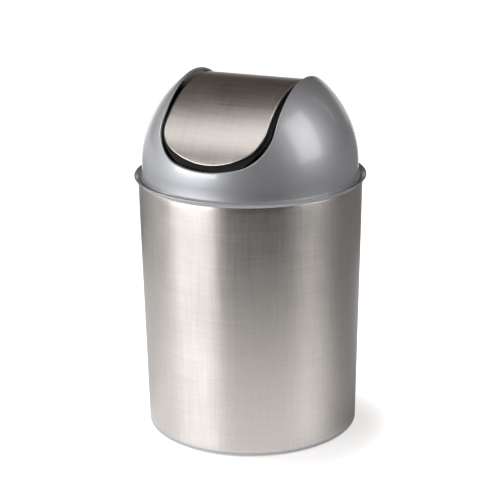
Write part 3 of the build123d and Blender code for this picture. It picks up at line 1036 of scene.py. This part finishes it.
class SWINGBIN_OT_stage(Operator):
    """Set the pale floor, the studio lamps and the camera"""

    bl_idname = "swing_bin.stage"
    bl_label = "Stage"

    def execute(self, context):
        studio = context.scene.swing_bin.studio
        context.scene.view_settings.view_transform = "Standard"
        self.lay_floor(studio)
        self.set_world(context, studio)
        self.set_camera(context, studio)
        for lamp in LAMPS:
            self.hang_lamp(studio, *lamp)
        return {"FINISHED"}

    def lay_floor(self, studio):
        """The floor: plain paper, a glow with a painted shadow for the camera, and one for gloss."""
        clear_selection()
        bpy.ops.mesh.primitive_plane_add(size=FLOOR_SIZE, location=(0, 0, 0))
        floor = bpy.context.object
        floor.name = "floor"
        material, root, where = new_material("floor_paper", studio.floor)
        # The camera's glow is weaker near the bin's front right: a painted shadow on the paper
        painted_shadow_distance = vector_math(root, "DISTANCE", where, on_floor(studio, *PAINTED_SHADOW_PLACE))
        seen_glow = fade(root, painted_shadow_distance, *PAINTED_SHADOW_FADE) + PAPER_GLOW
        paint = root.node("ShaderNodeBsdfDiffuse", {"Color": (*studio.floor, 1)})
        glow = self.white_light(root, seen_glow)
        mirrored_glow = self.white_light(root, self.mirrored_floor(root, studio, where))
        is_mirrored = root.node("ShaderNodeLightPath", {}, output="Is Glossy Ray")
        is_seen = root.node("ShaderNodeLightPath", {}, output="Is Camera Ray")
        seen = root.node("ShaderNodeAddShader", {0: paint, 1: glow})
        unseen = root.node("ShaderNodeMixShader", {"Fac": is_mirrored, 1: paint, 2: mirrored_glow})
        mixed = root.node("ShaderNodeMixShader", {"Fac": is_seen, 1: unseen, 2: seen})
        root.node("ShaderNodeOutputMaterial", {"Surface": mixed})
        floor.data.materials.append(material)

    def white_light(self, root, strength):
        """A white glow."""
        return root.node("ShaderNodeEmission", {"Color": (*WHITE, 1), "Strength": strength})

    def mirrored_floor(self, root, studio, where):
        """Brightness of the floor as metal and gloss see it: painted light with painted shade."""
        heading = vector_math(root, "NORMALIZE", where, output="Vector")

        def around(place, fading):
            """A fade with the distance from a place."""
            return fade(root, vector_math(root, "DISTANCE", where, on_floor(studio, *place)), *fading)

        def towards(azimuth, vector, fading):
            """A fade along a direction, by place or by heading."""
            direction = on_floor(studio, azimuth)
            return fade(root, vector_math(root, "DOT_PRODUCT", vector, direction), *fading)

        # Painted shadow at the right of the foot and in the lamps' lee, painted shade at the rear
        # left
        foot = 1 - around(FOOT_PLACE, FOOT_SHADE)
        quarter = 1 - towards(QUARTER_DIRECTION, heading, QUARTER_SHADE)
        lee = towards(LEE_DIRECTION, heading, LEE_FADE)
        near = around(NEAR_PLACE, NEAR_GLOW) * lee * (foot * quarter)
        side = towards(SIDE_DIRECTION, where, SIDE_GLOW)
        far = towards(FAR_DIRECTION, where, FAR_GLOW)
        back = towards(BEHIND, heading, BACK_GLOW) * around(NEAR_PLACE, BACK_START)
        return near + side + far + back

    def set_world(self, context, studio):
        """Plain white to the camera, and to all else a dim room with a lit wall behind the bin."""
        world = bpy.data.worlds.new("studio")
        world.use_nodes = True
        world.node_tree.nodes.clear()
        context.scene.world = world
        root = Wire(world.node_tree)
        direction = root.node("ShaderNodeTexCoord", {}, output="Generated")
        level = vector_math(root, "MULTIPLY", direction, (1, 1, 0), output="Vector")
        heading = vector_math(root, "NORMALIZE", level, output="Vector")
        facing = vector_math(root, "DOT_PRODUCT", heading, on_floor(studio, BEHIND))
        rise = vector_math(root, "DOT_PRODUCT", direction, (0, 0, 1))
        wall = fade(root, facing, *WALL_GLOW) * fade(root, rise, *WALL_TOP)

        def light(tone, strength):
            """A part of the surroundings' light."""
            inputs = {"Color": (*tone, 1), "Strength": strength}
            return root.node("ShaderNodeBackground", inputs)

        parts = {0: light(WHITE, wall), 1: light(ROOM_TINT, ROOM_LIGHT)}
        room = root.node("ShaderNodeAddShader", parts)
        is_seen = root.node("ShaderNodeLightPath", {}, output="Is Camera Ray")
        mixed = root.node("ShaderNodeMixShader", {"Fac": is_seen, 1: room, 2: light(WHITE, 1.0)})
        root.node("ShaderNodeOutputWorld", {"Surface": mixed})

    def set_camera(self, context, studio):
        """The camera, aimed at a point on the bin and rolled about its own axis."""
        back = direction_of(studio.azimuth, studio.elevation)
        right = Vector((cos(studio.azimuth), sin(studio.azimuth), 0))
        up = back.cross(right)
        rolled = Matrix.Rotation(studio.roll, 3, back)
        aim = Vector((0, 0, studio.aim_height)) + right * studio.aim_side
        bpy.ops.object.camera_add(location=aim + back * studio.distance)
        camera = context.object
        camera.name = "camera"
        axes = Matrix((rolled @ right, rolled @ up, rolled @ back))
        camera.rotation_euler = axes.transposed().to_euler()
        camera.data.lens = studio.lens
        camera.data.sensor_width = SENSOR_WIDTH
        context.scene.camera = camera

    def hang_lamp(self, studio, name, azimuth, elevation, width, height, brightness):
        """A softbox aimed at the bin, which the camera doesn't see."""
        away = direction_of(studio.azimuth + radians(azimuth), radians(elevation))
        aim = Vector((0, 0, studio.aim_height))
        bpy.ops.object.light_add(type="AREA", location=aim + away * LAMP_DISTANCE)
        lamp = bpy.context.object
        lamp.name = name
        lamp.rotation_euler = away.to_track_quat("Z", "Y").to_euler()
        lamp.data.shape = "RECTANGLE"
        lamp.data.size = width
        lamp.data.size_y = height
        lamp.data.energy = brightness * pi * width * height
        lamp.visible_camera = False


class SWINGBIN_PT_panel(Panel):
    """Sizes of the bin and the steps that build it"""

    bl_idname = "SWINGBIN_PT_panel"
    bl_label = "Swing-Lid Bin"
    bl_space_type = "VIEW_3D"
    bl_region_type = "UI"
    bl_category = "Swing Bin"

    def draw(self, context):
        layout = self.layout
        for step in STEPS:
            layout.operator(step.bl_idname)
        for group in SwingBin.__annotations__:
            box = layout.box()
            box.label(text=group.title())
            sizes = getattr(context.scene.swing_bin, group)
            for name in sizes.__annotations__:
                box.prop(sizes, name)


STEPS = (
    SWINGBIN_OT_sleeve,
    SWINGBIN_OT_bucket,
    SWINGBIN_OT_lid,
    SWINGBIN_OT_flap_face,
    SWINGBIN_OT_mouldings,
    SWINGBIN_OT_stage,
)
SETTINGS = (SleeveSizes, BucketSizes, LidSizes, FlapSizes, Finishes, Studio, SwingBin)
CLASSES = (*SETTINGS, *STEPS, SWINGBIN_PT_panel)


def register():
    for each in CLASSES:
        bpy.utils.register_class(each)
    bpy.types.Scene.swing_bin = PointerProperty(type=SwingBin)


def unregister():
    del bpy.types.Scene.swing_bin
    for each in reversed(CLASSES):
        bpy.utils.unregister_class(each)


def main():
    register()
    bpy.ops.swing_bin.sleeve()
    bpy.ops.swing_bin.bucket()
    bpy.ops.swing_bin.lid()
    bpy.ops.swing_bin.flap_face()
    bpy.ops.swing_bin.mouldings()
    bpy.ops.swing_bin.stage()


if __name__ == "__main__":
    main()
